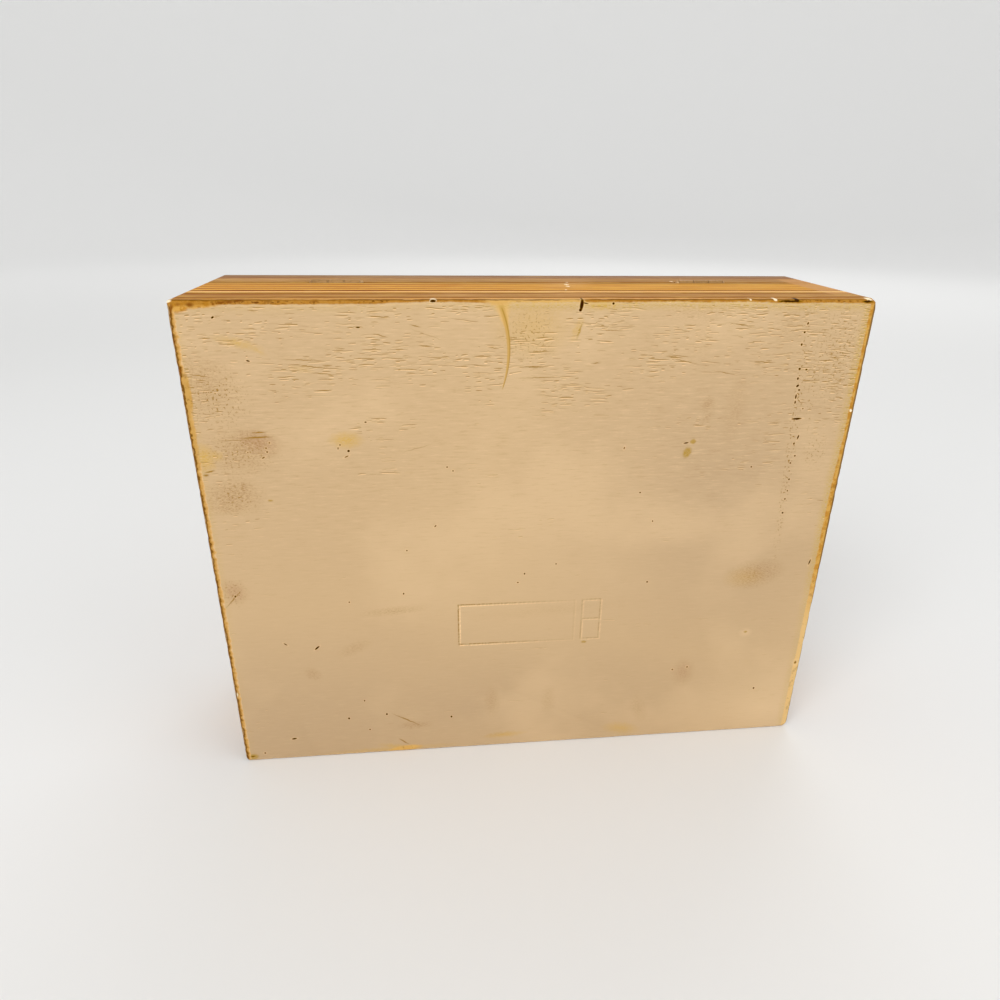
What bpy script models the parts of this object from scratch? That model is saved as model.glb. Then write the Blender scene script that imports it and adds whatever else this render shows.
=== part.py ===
"""Wooden trinket box with a hinged lid.

The box stands on its front wall with its lid shut, the way it is often photographed from below: the long side
lies along X, the base faces -Y, the lid faces +Y and the hinge wall is on top. Heights in the box are measured
from the outer face of the base, along +Y. Units are metres.
"""

import math

import bmesh
import bpy
from mathutils import Matrix, Vector

# Overall sizes
BOX_LENGTH = 0.250
BOX_WIDTH = 0.198
WALL_THICKNESS = 0.010
CORNER_RADIUS = 0.0015
SOFT_CORNER_RADIUS = 0.0006

# Running and seating gaps, and how far a cutter runs past what it cuts
CLEARANCE = 0.0003
OVERRUN = 0.004

# Base panel, planted on the walls
PANEL_THICKNESS = 0.004
PANEL_EDGE_RADIUS = 0.0013
PANEL_BACK_CHAMFER = 0.0004

# Body walls
BODY_WALL_HEIGHT = 0.0438
WALL_FOOT_CHAMFER = 0.0005
SCORE_HEIGHT = 0.0163
SCORE_WIDTH = 0.0012
SCORE_DEPTH = 0.0005

# Pale strip let into a groove round the body
STRIP_ABOVE_SCORE = 0.0042
STRIP_WIDTH = 0.0028
STRIP_THICKNESS = 0.0016
STRIP_EDGE_CHAMFER = 0.0004

# Joint between body and lid
JOINT_GAP = 0.0004
JOINT_CHAMFER = 0.0009

# Lid
LID_RAIL_HEIGHT = 0.0132
LID_BOARD_THICKNESS = 0.014
LID_EDGE_RADIUS = 0.003
LID_SEAM_CHAMFER = 0.0005

# Butt hinges, let into the joint faces of the back wall and the back rail
HINGE_PLACE_SHARE = 0.299
HINGE_LENGTH = 0.0185
HINGE_AXIS_DEPTH = 0.0004
KNUCKLE_RADIUS = 0.0014
LEAF_REACH_SHARE = 0.64
LEAF_THICKNESS = 0.0008
PIN_RADIUS = 0.0006
PIN_HEAD_RADIUS = 0.0013
PIN_HEAD_LENGTH = 0.0011

# Countersunk screws of the hinges
SCREW_PLACE_SHARE = 0.28
SCREW_REACH_SHARE = 0.49
SCREW_RADIUS = 0.0006
SCREW_HEAD_RADIUS = 0.0012
SCREW_HEAD_HEIGHT = 0.0006
SCREW_POINT_LENGTH = 0.0016
SCREW_POINT_RADIUS = 0.0001
SCREW_SLOT_WIDTH = 0.0003
SCREW_SLOT_DEPTH = 0.00025

# Brads that hold the base panel, set below its face and filled over
BRAD_LENGTH = 0.016
BRAD_RADIUS = 0.0005
BRAD_HEAD_RADIUS = 0.0009
BRAD_HEAD_HEIGHT = 0.0005
BRAD_POINT_LENGTH = 0.0018
BRAD_POINT_RADIUS = 0.0001
BRAD_SET_DEPTH = 0.0009
BRAD_FROM_EDGE_SHARE = 0.55
BRAD_FROM_END = 0.013
BRADS_PER_LONG_WALL = 4
BRAD_SHORT_WALL_SHARES = (0.3, 0.7)

# Facets
CORNER_STEPS = 4
EDGE_STEPS = 4
BARREL_SEGMENTS = 20
SCREW_SEGMENTS = 12
BRAD_SEGMENTS = 8
SMOOTH_BELOW_DEGREES = 35

# Finishes: colour, roughness, metallic
CREAM_PAINT = ((0.68, 0.47, 0.27), 0.62, 0.0)
BROWN_WOOD = ((0.43, 0.20, 0.065), 0.40, 0.0)
PALE_WOOD = ((0.80, 0.46, 0.17), 0.38, 0.0)
LID_WOOD = ((0.40, 0.21, 0.085), 0.42, 0.0)
OLD_BRASS = ((0.52, 0.36, 0.16), 0.40, 1.0)
PIN_BRASS = ((0.78, 0.56, 0.32), 0.32, 1.0)
STEEL = ((0.36, 0.34, 0.31), 0.45, 1.0)

# Worked out from the sizes above
WALL_FOOT_HEIGHT = PANEL_THICKNESS + CLEARANCE
WALL_TOP_HEIGHT = WALL_FOOT_HEIGHT + BODY_WALL_HEIGHT
RAIL_FOOT_HEIGHT = WALL_TOP_HEIGHT + JOINT_GAP
RAIL_TOP_HEIGHT = RAIL_FOOT_HEIGHT + LID_RAIL_HEIGHT
BOARD_FOOT_HEIGHT = RAIL_TOP_HEIGHT + CLEARANCE
BOX_HEIGHT = BOARD_FOOT_HEIGHT + LID_BOARD_THICKNESS
BASE_Y = -BOX_HEIGHT / 2
JOINT_Y = BASE_Y + WALL_TOP_HEIGHT + JOINT_GAP / 2
STRIP_HEIGHT = SCORE_HEIGHT + STRIP_ABOVE_SCORE
AXIS_Z = BOX_WIDTH - HINGE_AXIS_DEPTH
LEAF_REACH = LEAF_REACH_SHARE * WALL_THICKNESS
SCREW_LENGTH = SCREW_REACH_SHARE * LID_RAIL_HEIGHT
GROOVE_DEPTH = STRIP_THICKNESS + CLEARANCE
GROOVE_WIDTH = STRIP_WIDTH + 2 * CLEARANCE
BORE_RADIUS = PIN_RADIUS + CLEARANCE
KNUCKLE_ROOM_RADIUS = KNUCKLE_RADIUS + CLEARANCE
BARREL_HALF_LENGTH = HINGE_LENGTH / 2 + CLEARANCE + PIN_HEAD_LENGTH
SIDES = ("front", "back", "left", "right")


def clear_scene():
    for obj in list(bpy.data.objects):
        bpy.data.objects.remove(obj, do_unlink=True)


# Meshes


def mesh_from(name, bm):
    """Closes a bmesh with its faces pointing out and returns it as a mesh, round parts smooth."""
    bmesh.ops.recalc_face_normals(bm, faces=bm.faces)
    mesh = bpy.data.meshes.new(name)
    bm.to_mesh(mesh)
    bm.free()
    mesh.shade_smooth()
    mesh.set_sharp_from_angle(angle=math.radians(SMOOTH_BELOW_DEGREES))
    return mesh


def skin_loops(bm, loops):
    """Joins closed loops of vertices one after the other and caps the first and the last."""
    for lower, upper in zip(loops, loops[1:]):
        count = len(lower)
        for i in range(count):
            j = (i + 1) % count
            bm.faces.new((lower[i], lower[j], upper[j], upper[i]))
    bm.faces.new(loops[0])
    bm.faces.new(loops[-1])


def box_outline(inset):
    """The box's outline in X and Z, moved inwards by inset, with its four corners rounded."""
    radius = max(CORNER_RADIUS - inset, SOFT_CORNER_RADIUS)
    half_x = BOX_LENGTH / 2 - inset - radius
    half_z = BOX_WIDTH / 2 - inset - radius
    points = []
    for corner, (sign_x, sign_z) in enumerate(((1, 1), (-1, 1), (-1, -1), (1, -1))):
        for step in range(CORNER_STEPS + 1):
            angle = math.pi / 2 * (corner + step / CORNER_STEPS)
            x = sign_x * half_x + radius * math.cos(angle)
            z = BOX_WIDTH / 2 + sign_z * half_z + radius * math.sin(angle)
            points.append((x, z))
    return points


def lofted_mesh(name, sections):
    """A block with the box's outline, from (height, inset) pairs that run from the base towards the lid."""
    bm = bmesh.new()
    loops = []
    for height, inset in sections:
        loops.append([bm.verts.new((x, BASE_Y + height, z)) for x, z in box_outline(inset)])
    skin_loops(bm, loops)
    return mesh_from(name, bm)


def rounded_edge(face_height, radius, into):
    """(height, inset) pairs of a quarter round, from the face at face_height into the block."""
    pairs = []
    for step in range(EDGE_STEPS + 1):
        angle = math.pi / 2 * step / EDGE_STEPS
        height = face_height + into * radius * (1 - math.cos(angle))
        pairs.append((height, radius * (1 - math.sin(angle))))
    return pairs


def block_mesh(name, low, high):
    """A plain block between two corners."""
    bm = bmesh.new()
    size = Vector(high) - Vector(low)
    middle = (Vector(high) + Vector(low)) / 2
    bmesh.ops.create_cube(bm, size=1, matrix=Matrix.Translation(middle) @ Matrix.Diagonal(size).to_4x4())
    return mesh_from(name, bm)


def prism_mesh(name, outline, low_y, high_y):
    """An outline of (x, z) points, extruded along Y."""
    bm = bmesh.new()
    loops = [[bm.verts.new((x, y, z)) for x, z in outline] for y in (low_y, high_y)]
    skin_loops(bm, loops)
    return mesh_from(name, bm)


def turned_mesh(name, profile, segments, axis):
    """A turned solid from (place along the axis, radius) pairs, in the order that they lie along the axis."""
    bm = bmesh.new()
    loops = []
    for place, radius in profile:
        loop = []
        for i in range(segments):
            angle = 2 * math.pi * i / segments
            loop.append(bm.verts.new((radius * math.cos(angle), radius * math.sin(angle), place)))
        loops.append(loop)
    skin_loops(bm, loops)
    turn = Vector((0, 0, 1)).rotation_difference(Vector(axis)).to_matrix().to_4x4()
    bmesh.ops.transform(bm, matrix=turn, verts=bm.verts)
    return mesh_from(name, bm)


# Objects


def finish_of(name, finish):
    """A material of the piece's own."""
    colour, roughness, metallic = finish
    made = bpy.data.materials.new(name)
    made.use_nodes = True
    shader = made.node_tree.nodes["Principled BSDF"]
    shader.inputs["Base Color"].default_value = (*colour, 1)
    shader.inputs["Roughness"].default_value = roughness
    shader.inputs["Metallic"].default_value = metallic
    made.diffuse_color = (*colour, 1)
    return made


def piece(name, mesh, finish, place=(0, 0, 0), pivot=None):
    """Adds a piece of the box. Its place is in world coordinates, and it hangs on the pivot when it has one."""
    obj = bpy.data.objects.new(name, mesh.copy())
    bpy.context.scene.collection.objects.link(obj)
    obj.data.materials.clear()
    obj.data.materials.append(finish_of(name, finish))
    put(obj, place, pivot)
    return obj


def put(obj, place, pivot):
    obj.parent = pivot
    obj.location = Vector(place) - (pivot.location if pivot else Vector())


def cutters_for(obj):
    """A collection of cutters that one Boolean takes out of the piece."""
    holder = bpy.data.collections.new(obj.name + "_cutters")
    bpy.context.scene.collection.children.link(holder)
    cut = obj.modifiers.new("cuts", "BOOLEAN")
    cut.operation = "DIFFERENCE"
    cut.solver = "EXACT"
    cut.operand_type = "COLLECTION"
    cut.collection = holder
    return holder


def helper(name, mesh, holder, place=(0, 0, 0), pivot=None):
    """A cutter or another guide, which isn't a piece of the box."""
    obj = bpy.data.objects.new(name, mesh)
    holder.objects.link(obj)
    obj.hide_render = True
    obj.display_type = "WIRE"
    put(obj, place, pivot)
    return obj


def combine(obj, other, operation):
    step = obj.modifiers.new(operation.lower(), "BOOLEAN")
    step.operation = operation
    step.solver = "EXACT"
    step.object = other


# Mitred frames


def wedge_outline(side):
    """The part of the box's plan that one wall keeps: its mitres run at 45 degrees from the box's corners."""
    reach = WALL_THICKNESS + OVERRUN
    shift = CLEARANCE / math.sqrt(2)
    across = side in ("front", "back")
    half = (BOX_LENGTH if across else BOX_WIDTH) / 2
    depths = (-OVERRUN, reach)
    low, high = [(half - depth - shift, depth) for depth in depths]
    flat = [(-low[0], low[1]), low, high, (-high[0], high[1])]
    middle_z = BOX_WIDTH / 2
    if side == "front":
        return [(along, depth) for along, depth in flat]
    if side == "back":
        return [(along, BOX_WIDTH - depth) for along, depth in flat]
    if side == "left":
        return [(depth - BOX_LENGTH / 2, middle_z + along) for along, depth in flat]
    return [(BOX_LENGTH / 2 - depth, middle_z + along) for along, depth in flat]


def mitred_frame(prefix, suffix, blank, inner, finish, guides, pivot=None):
    """Four mitred lengths with the blank's outside. The inner mesh is the hollow that they stand round."""
    pieces = {}
    holders = {}
    for side in SIDES:
        name = f"{prefix}_{side}_{suffix}"
        wall = piece(name, blank, finish, pivot=pivot)
        wedge_mesh = prism_mesh(name + "_wedge", wedge_outline(side), BASE_Y - OVERRUN, -BASE_Y + OVERRUN)
        wedge = helper(name + "_wedge", wedge_mesh, guides, pivot=pivot)
        combine(wall, wedge, "INTERSECT")
        holders[side] = cutters_for(wall)
        helper(name + "_hollow", inner, holders[side], pivot=pivot)
        pieces[side] = wall
    return pieces, holders


def hollow_block(name, depth):
    """The space inside walls of this depth, running out past base and lid."""
    low = (depth - BOX_LENGTH / 2, BASE_Y - OVERRUN, depth)
    high = (BOX_LENGTH / 2 - depth, -BASE_Y + OVERRUN, BOX_WIDTH - depth)
    return block_mesh(name, low, high)


# The pieces


def base_panel():
    sections = rounded_edge(0, PANEL_EDGE_RADIUS, 1)
    sections += [(PANEL_THICKNESS - PANEL_BACK_CHAMFER, 0), (PANEL_THICKNESS, PANEL_BACK_CHAMFER)]
    panel = piece("base_panel", lofted_mesh("base_panel", sections), CREAM_PAINT)
    return panel, cutters_for(panel)


def body_walls(guides):
    groove_low = STRIP_HEIGHT - GROOVE_WIDTH / 2
    groove_high = STRIP_HEIGHT + GROOVE_WIDTH / 2
    sections = [
        (WALL_FOOT_HEIGHT, WALL_FOOT_CHAMFER),
        (WALL_FOOT_HEIGHT + WALL_FOOT_CHAMFER, 0),
        (SCORE_HEIGHT - SCORE_WIDTH / 2, 0),
        (SCORE_HEIGHT, SCORE_DEPTH),
        (SCORE_HEIGHT + SCORE_WIDTH / 2, 0),
        (groove_low, 0),
        (groove_low, GROOVE_DEPTH),
        (groove_high, GROOVE_DEPTH),
        (groove_high, 0),
        (WALL_TOP_HEIGHT - JOINT_CHAMFER, 0),
        (WALL_TOP_HEIGHT, JOINT_CHAMFER),
    ]
    blank = lofted_mesh("body_blank", sections)
    inner = hollow_block("body_hollow", WALL_THICKNESS)
    return mitred_frame("body", "wall", blank, inner, BROWN_WOOD, guides)


def body_strips(guides):
    low = STRIP_HEIGHT - STRIP_WIDTH / 2
    high = STRIP_HEIGHT + STRIP_WIDTH / 2
    sections = [
        (low, STRIP_EDGE_CHAMFER),
        (low + STRIP_EDGE_CHAMFER, 0),
        (high - STRIP_EDGE_CHAMFER, 0),
        (high, STRIP_EDGE_CHAMFER),
    ]
    blank = lofted_mesh("strip_blank", sections)
    hollow_sections = [(low - OVERRUN, STRIP_THICKNESS), (high + OVERRUN, STRIP_THICKNESS)]
    inner = lofted_mesh("strip_hollow", hollow_sections)
    mitred_frame("body", "strip", blank, inner, PALE_WOOD, guides)


def lid_rails(guides, pivot):
    sections = [
        (RAIL_FOOT_HEIGHT, JOINT_CHAMFER),
        (RAIL_FOOT_HEIGHT + JOINT_CHAMFER, 0),
        (RAIL_TOP_HEIGHT - LID_SEAM_CHAMFER, 0),
        (RAIL_TOP_HEIGHT, LID_SEAM_CHAMFER),
    ]
    blank = lofted_mesh("rail_blank", sections)
    inner = hollow_block("lid_hollow", WALL_THICKNESS)
    return mitred_frame("lid", "rail", blank, inner, LID_WOOD, guides, pivot)


def lid_board(pivot):
    sections = [(BOARD_FOOT_HEIGHT, LID_SEAM_CHAMFER), (BOARD_FOOT_HEIGHT + LID_SEAM_CHAMFER, 0)]
    sections += reversed(rounded_edge(BOX_HEIGHT, LID_EDGE_RADIUS, -1))
    piece("lid_board", lofted_mesh("lid_board", sections), LID_WOOD, pivot=pivot)


def knuckle_spans():
    """Where the three knuckles lie along the hinge: the outer two are the body leaf's, the middle one the lid's."""
    length = (HINGE_LENGTH - 2 * CLEARANCE) / 3
    starts = [-HINGE_LENGTH / 2 + i * (length + CLEARANCE) for i in range(3)]
    spans = [(start, start + length) for start in starts]
    return {"body": (spans[0], spans[2]), "lid": (spans[1],)}


def leaf_sides(toward):
    """The leaf's inner and outer face, along Y from the pin: toward is -1 on the body and 1 on the lid."""
    faces = (toward * JOINT_GAP / 2, toward * (JOINT_GAP / 2 + LEAF_THICKNESS))
    return min(faces), max(faces)


def hinge_leaf(name, half, place, guides, pivot):
    """A leaf with its knuckles rolled round the pin. It is let into the joint face of the wood behind it."""
    toward = -1 if half == "body" else 1
    low_y, high_y = leaf_sides(toward)
    plate_top = -KNUCKLE_ROOM_RADIUS
    low = (-HINGE_LENGTH / 2, low_y, -LEAF_REACH)
    high = (HINGE_LENGTH / 2, high_y, plate_top)
    leaf = piece(name, block_mesh(name, low, high), OLD_BRASS, place, pivot)
    for number, (start, end) in enumerate(knuckle_spans()[half]):
        root = block_mesh("root", (start, low_y, -LEAF_REACH / 2), (end, high_y, -PIN_RADIUS))
        combine(leaf, helper(f"{name}_root_{number}", root, guides, place, pivot), "UNION")
        barrel = turned_mesh(
            "knuckle", [(start, KNUCKLE_RADIUS), (end, KNUCKLE_RADIUS)], BARREL_SEGMENTS, (1, 0, 0)
        )
        combine(leaf, helper(f"{name}_knuckle_{number}", barrel, guides, place, pivot), "UNION")
    holder = cutters_for(leaf)
    reach = HINGE_LENGTH / 2 + OVERRUN
    bore = turned_mesh("bore", [(-reach, BORE_RADIUS), (reach, BORE_RADIUS)], BARREL_SEGMENTS, (1, 0, 0))
    helper(name + "_bore", bore, holder, place, pivot)
    return holder


def hinge_pin(name, place):
    """A pin with a rounded head at each end, which keeps it in the knuckles."""
    shank_end = HINGE_LENGTH / 2 + CLEARANCE
    head = []
    for step in range(EDGE_STEPS):
        angle = math.pi / 2 * step / EDGE_STEPS
        length = PIN_HEAD_LENGTH * math.sin(angle)
        head.append((shank_end + length, PIN_HEAD_RADIUS * math.cos(angle)))
    right = [(shank_end, PIN_RADIUS)] + head
    left = [(-along, radius) for along, radius in reversed(right)]
    mesh = turned_mesh(name, left + right, BARREL_SEGMENTS, (1, 0, 0))
    piece(name, mesh, PIN_BRASS, place)


def hinge_recess(name, half, place, holder, pivot):
    """The room that the wood gives a hinge: a mortise for the leaf and a hollow for the knuckles."""
    toward = -1 if half == "body" else 1
    depth = JOINT_GAP / 2 + LEAF_THICKNESS + CLEARANCE
    ends = (toward * depth, -toward * OVERRUN)
    half_length = HINGE_LENGTH / 2 + CLEARANCE
    low = (-half_length, min(ends), -LEAF_REACH - CLEARANCE)
    high = (half_length, max(ends), 0)
    helper(name + "_mortise", block_mesh("mortise", low, high), holder, place, pivot)
    reach = BARREL_HALF_LENGTH + CLEARANCE
    hollow = turned_mesh(
        "barrel_room", [(-reach, KNUCKLE_ROOM_RADIUS), (reach, KNUCKLE_ROOM_RADIUS)], BARREL_SEGMENTS, (1, 0, 0)
    )
    helper(name + "_barrel_room", hollow, holder, place, pivot)


def screw_profile(grow, length_over):
    """A countersunk screw, head first. grow widens it for its hole, and length_over deepens it."""
    return [
        (0, SCREW_HEAD_RADIUS + grow),
        (SCREW_HEAD_HEIGHT, SCREW_RADIUS + grow),
        (SCREW_LENGTH - SCREW_POINT_LENGTH + length_over, SCREW_RADIUS + grow),
        (SCREW_LENGTH + length_over, SCREW_POINT_RADIUS + grow),
    ]


def hinge_screw(name, half, place, holders, pivot):
    """A slotted screw through the leaf into the wood, and its hole in both."""
    toward = -1 if half == "body" else 1
    axis = (0, toward, 0)
    mesh = turned_mesh(name, screw_profile(0, 0), SCREW_SEGMENTS, axis)
    screw = piece(name, mesh, STEEL, place, pivot)
    slot_ends = (-toward * OVERRUN, toward * SCREW_SLOT_DEPTH)
    half_width = SCREW_SLOT_WIDTH / 2
    low = (-half_width, min(slot_ends), -SCREW_HEAD_RADIUS - OVERRUN)
    high = (half_width, max(slot_ends), SCREW_HEAD_RADIUS + OVERRUN)
    helper(name + "_slot", block_mesh("slot", low, high), cutters_for(screw), place, pivot)
    hole = [(-OVERRUN, SCREW_HEAD_RADIUS + CLEARANCE)] + screw_profile(CLEARANCE, CLEARANCE)
    for holder in holders:
        hole_mesh = turned_mesh("screw_hole", hole, SCREW_SEGMENTS, axis)
        helper(f"{name}_hole_{holder.name}", hole_mesh, holder, place, pivot)


def hinge(side, sign, body_holder, rail_holder, guides, pivot):
    """One butt hinge with its two leaves, its pin and its four screws."""
    centre = Vector((sign * HINGE_PLACE_SHARE * BOX_LENGTH, JOINT_Y, AXIS_Z))
    screw_z = AXIS_Z - (LEAF_REACH + KNUCKLE_ROOM_RADIUS) / 2
    for half, toward, wood in (("body", -1, body_holder), ("lid", 1, rail_holder)):
        carried = pivot if half == "lid" else None
        name = f"{side}_hinge_{half}"
        leaf_holder = hinge_leaf(name + "_leaf", half, centre, guides, carried)
        hinge_recess(name, half, centre, wood, carried)
        for number, along in enumerate((-1, 1), start=1):
            screw_x = centre.x + along * SCREW_PLACE_SHARE * HINGE_LENGTH
            place = Vector((screw_x, JOINT_Y + toward * JOINT_GAP / 2, screw_z))
            hinge_screw(f"{name}_screw_{number}", half, place, (leaf_holder, wood), carried)
    hinge_pin(f"{side}_hinge_pin", centre)


def brad_profile(grow, length_over):
    return [
        (-length_over, BRAD_HEAD_RADIUS + grow),
        (BRAD_HEAD_HEIGHT + length_over, BRAD_HEAD_RADIUS + grow),
        (BRAD_HEAD_HEIGHT + length_over, BRAD_RADIUS + grow),
        (BRAD_LENGTH - BRAD_POINT_LENGTH + length_over, BRAD_RADIUS + grow),
        (BRAD_LENGTH + length_over, BRAD_POINT_RADIUS + grow),
    ]


def brad_places():
    """(wall, x, z) of each brad: four along each long wall and two along each short one."""
    inset = BRAD_FROM_EDGE_SHARE * WALL_THICKNESS
    first_x = BRAD_FROM_END - BOX_LENGTH / 2
    step = -2 * first_x / (BRADS_PER_LONG_WALL - 1)
    places = []
    for i in range(BRADS_PER_LONG_WALL):
        places.append(("front", first_x + i * step, inset))
        places.append(("back", first_x + i * step, BOX_WIDTH - inset))
    for share in BRAD_SHORT_WALL_SHARES:
        places.append(("left", inset - BOX_LENGTH / 2, share * BOX_WIDTH))
        places.append(("right", BOX_LENGTH / 2 - inset, share * BOX_WIDTH))
    return places


def base_brads(panel_holder, wall_holders):
    counts = dict.fromkeys(SIDES, 0)
    for side, x, z in brad_places():
        counts[side] += 1
        name = f"{side}_brad_{counts[side]}"
        place = (x, BASE_Y + BRAD_SET_DEPTH, z)
        piece(name, turned_mesh(name, brad_profile(0, 0), BRAD_SEGMENTS, (0, 1, 0)), STEEL, place)
        for holder in (panel_holder, wall_holders[side]):
            hole = turned_mesh("brad_hole", brad_profile(CLEARANCE, CLEARANCE), BRAD_SEGMENTS, (0, 1, 0))
            helper(f"{name}_hole_{holder.name}", hole, holder, place)


def build():
    clear_scene()
    guides = bpy.data.collections.new("guides")
    bpy.context.scene.collection.children.link(guides)
    pivot = bpy.data.objects.new("lid_pivot", None)
    bpy.context.scene.collection.objects.link(pivot)
    pivot.location = (0, JOINT_Y, AXIS_Z)

    panel_holder = base_panel()[1]
    wall_holders = body_walls(guides)[1]
    body_strips(guides)
    rail_holders = lid_rails(guides, pivot)[1]
    lid_board(pivot)
    for side, sign in (("left", -1), ("right", 1)):
        hinge(side, sign, wall_holders["back"], rail_holders["back"], guides, pivot)
    base_brads(panel_holder, wall_holders)


build()
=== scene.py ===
"""The looks of a wooden trinket box that stands on its front wall, its painted base towards the camera."""

import math
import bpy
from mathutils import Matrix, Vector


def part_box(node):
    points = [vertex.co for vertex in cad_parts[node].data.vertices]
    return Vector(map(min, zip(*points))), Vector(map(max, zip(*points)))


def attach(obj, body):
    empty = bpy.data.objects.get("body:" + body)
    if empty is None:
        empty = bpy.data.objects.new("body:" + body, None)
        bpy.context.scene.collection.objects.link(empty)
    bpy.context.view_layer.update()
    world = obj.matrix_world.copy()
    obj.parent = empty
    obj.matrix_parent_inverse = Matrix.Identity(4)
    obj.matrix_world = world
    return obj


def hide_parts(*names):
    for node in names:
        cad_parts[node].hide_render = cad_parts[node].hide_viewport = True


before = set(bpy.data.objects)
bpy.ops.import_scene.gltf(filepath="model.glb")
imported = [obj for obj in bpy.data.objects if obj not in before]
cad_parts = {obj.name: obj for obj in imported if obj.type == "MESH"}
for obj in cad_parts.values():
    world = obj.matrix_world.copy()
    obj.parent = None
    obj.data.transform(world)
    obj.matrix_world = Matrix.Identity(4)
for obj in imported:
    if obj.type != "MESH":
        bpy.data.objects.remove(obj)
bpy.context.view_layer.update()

from types import SimpleNamespace

import bmesh
import bpy
from mathutils import Matrix, Vector, noise

# Places on the box, in metres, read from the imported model
PANEL_LOW, PANEL_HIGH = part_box("base_panel")
_, BOARD_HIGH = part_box("lid_board")
WALL_LOW, WALL_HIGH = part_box("body_back_wall")
BASE_Y = PANEL_LOW.y
BOX_LENGTH = PANEL_HIGH.x - PANEL_LOW.x
BOX_WIDTH = PANEL_HIGH.z - PANEL_LOW.z
BOX_HEIGHT = BOARD_HIGH.y - BASE_Y
WALL_THICKNESS = WALL_HIGH.z - WALL_LOW.z
SIDES = ("front", "back", "left", "right")
MM = 1000
LENGTH_MM = MM * BOX_LENGTH
WIDTH_MM = MM * BOX_WIDTH
HEIGHT_MM = MM * BOX_HEIGHT
PANEL_THICKNESS_MM = MM * (PANEL_HIGH.y - BASE_Y)

# The camera: its place from the middle of the base, as shares of the box's length, and how it is turned
CAMERA_PLACE_SHARES = (-0.15148, -1.01612, 0.53802)
CAMERA_RIGHT = (0.99431, -0.10569, 0.01361)
CAMERA_UP = (0.03081, 0.40734, 0.91276)
CAMERA_LENS = 25.79
CAMERA_SHIFT = (-0.0102, 0.0075)

# Paints and woods as they look in plain light, and the painted light and shade laid on them: red, green and
# blue from 0 to 255
CREAM = (207, 176, 134)
CREAM_PAINTED_SHADE = (191, 162, 126)
CREAM_PALE_AND_LIT = (219, 188, 146)
CRACK_BROWN = (146, 106, 8)
SMUDGE_BROWN = (158, 118, 66)
SMUDGE_RED = (150, 92, 46)
HIGHLIGHT_AND_RING_CREAM = (246, 210, 160)
WASH_YELLOW = (206, 166, 88)
WASH_GOLD = (222, 178, 104)
RIM_GOLD_HIGHLIGHT = (234, 194, 128)
FRINGE_OLIVE = (198, 164, 84)
OLIVE = (176, 140, 60)
RUN_GOLD = (200, 158, 86)
RUN_OLIVE = (170, 132, 52)
SPECK_HALO = (140, 100, 12)
RUST_BROWN = (128, 72, 14)
SPECK_BROWN = (56, 26, 2)
VARNISH_ORANGE = (190, 132, 46)
VARNISH_GOLD = (210, 160, 78)
VARNISH_DEEP = (170, 114, 30)
VARNISH_DARK = (92, 50, 4)
VARNISH_HIGHLIGHT = (224, 164, 88)
RIM_SHADE_OLIVE = (140, 106, 56)
FILLER_AND_GLINT_WHITE = (250, 232, 196)
BOARD_FACE = (192, 140, 70)
RAW_WOOD = (205, 168, 118)
RAW_END = (176, 134, 86)
GRAIN_DARK = (196, 134, 14)
GRAIN_LIGHT = (255, 212, 118)
PORE_BROWN = (120, 76, 34)
SMEAR_PALE = (216, 164, 104)
CORNER_PALE = (200, 146, 88)
STRIP_PALE = (246, 206, 134)
STRIP_WARM = (232, 174, 98)
STRIP_SHADE = (214, 156, 82)
STAGE_PALE = (230, 230, 229)
STAGE_LIGHT = (234, 234, 233)

# How strongly the paint and the wood shine, and how deep their relief is, in metres
PAINT_SHINE = 0.01
WOOD_SHINE = 0.015
PAINT_RELIEF = 0.00006
WOOD_RELIEF = 0.00008
FINE_RELIEF = 0.00004

# The wood's growth rings, in metres: how far apart they are and how far they wander
RING_PITCH = 0.0054
RING_WANDER = 0.003


def linear(colour):
    """A colour of 0 to 255 as Blender's linear values."""
    values = []
    for part in colour:
        share = part / 255
        values.append(share / 12.92 if share <= 0.04045 else ((share + 0.055) / 1.055) ** 2.4)
    return (*values, 1)


# Nodes


def node(tree, kind, **settings):
    made = tree.nodes.new(kind)
    for name, value in settings.items():
        setattr(made, name, value)
    return made


def tree_of(*values):
    """The node tree of the sockets among the values."""
    return next(value.id_data for value in values if isinstance(value, bpy.types.NodeSocket))


def wire(value, socket):
    """Links a socket into another, or sets a plain value."""
    if isinstance(value, bpy.types.NodeSocket):
        socket.id_data.links.new(value, socket)
    elif value is not None:
        socket.default_value = value


def maths(operation, a, b=None, c=None, clamp=False):
    made = node(tree_of(a, b, c), "ShaderNodeMath", operation=operation, use_clamp=clamp)
    for socket, value in zip(made.inputs, (a, b, c)):
        wire(value, socket)
    return made.outputs[0]


def vectors(operation, a, b=None):
    made = node(tree_of(a, b), "ShaderNodeVectorMath", operation=operation)
    wire(a, made.inputs[0])
    wire(b, made.inputs[1])
    return made.outputs["Value" if operation in ("LENGTH", "DOT_PRODUCT", "DISTANCE") else "Vector"]


def fade(value, start, end, low=0, high=1):
    """A smooth step from low at start to high at end. Start may be the larger of the two."""
    made = node(tree_of(value), "ShaderNodeMapRange", interpolation_type="SMOOTHSTEP")
    for socket, entry in zip(made.inputs, (value, start, end, low, high)):
        wire(entry, socket)
    return made.outputs[0]


def blend(amount, below, above, kind="MIX"):
    """Lays one colour over another. A plain colour is given as red, green and blue from 0 to 255."""
    made = node(tree_of(amount, below, above), "ShaderNodeMix", data_type="RGBA", blend_type=kind)
    wire(amount, made.inputs[0])
    for number, colour in ((6, below), (7, above)):
        wire(linear(colour) if isinstance(colour, tuple) else colour, made.inputs[number])
    return made.outputs[2]


def folded(operation, values):
    """The result of one operation over all the values, from the first to the last."""
    found = values[0]
    for value in values[1:]:
        found = maths(operation, found, value)
    return found


def product(*values):
    return folded("MULTIPLY", values)


def strongest(*masks):
    return folded("MAXIMUM", masks)


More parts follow.
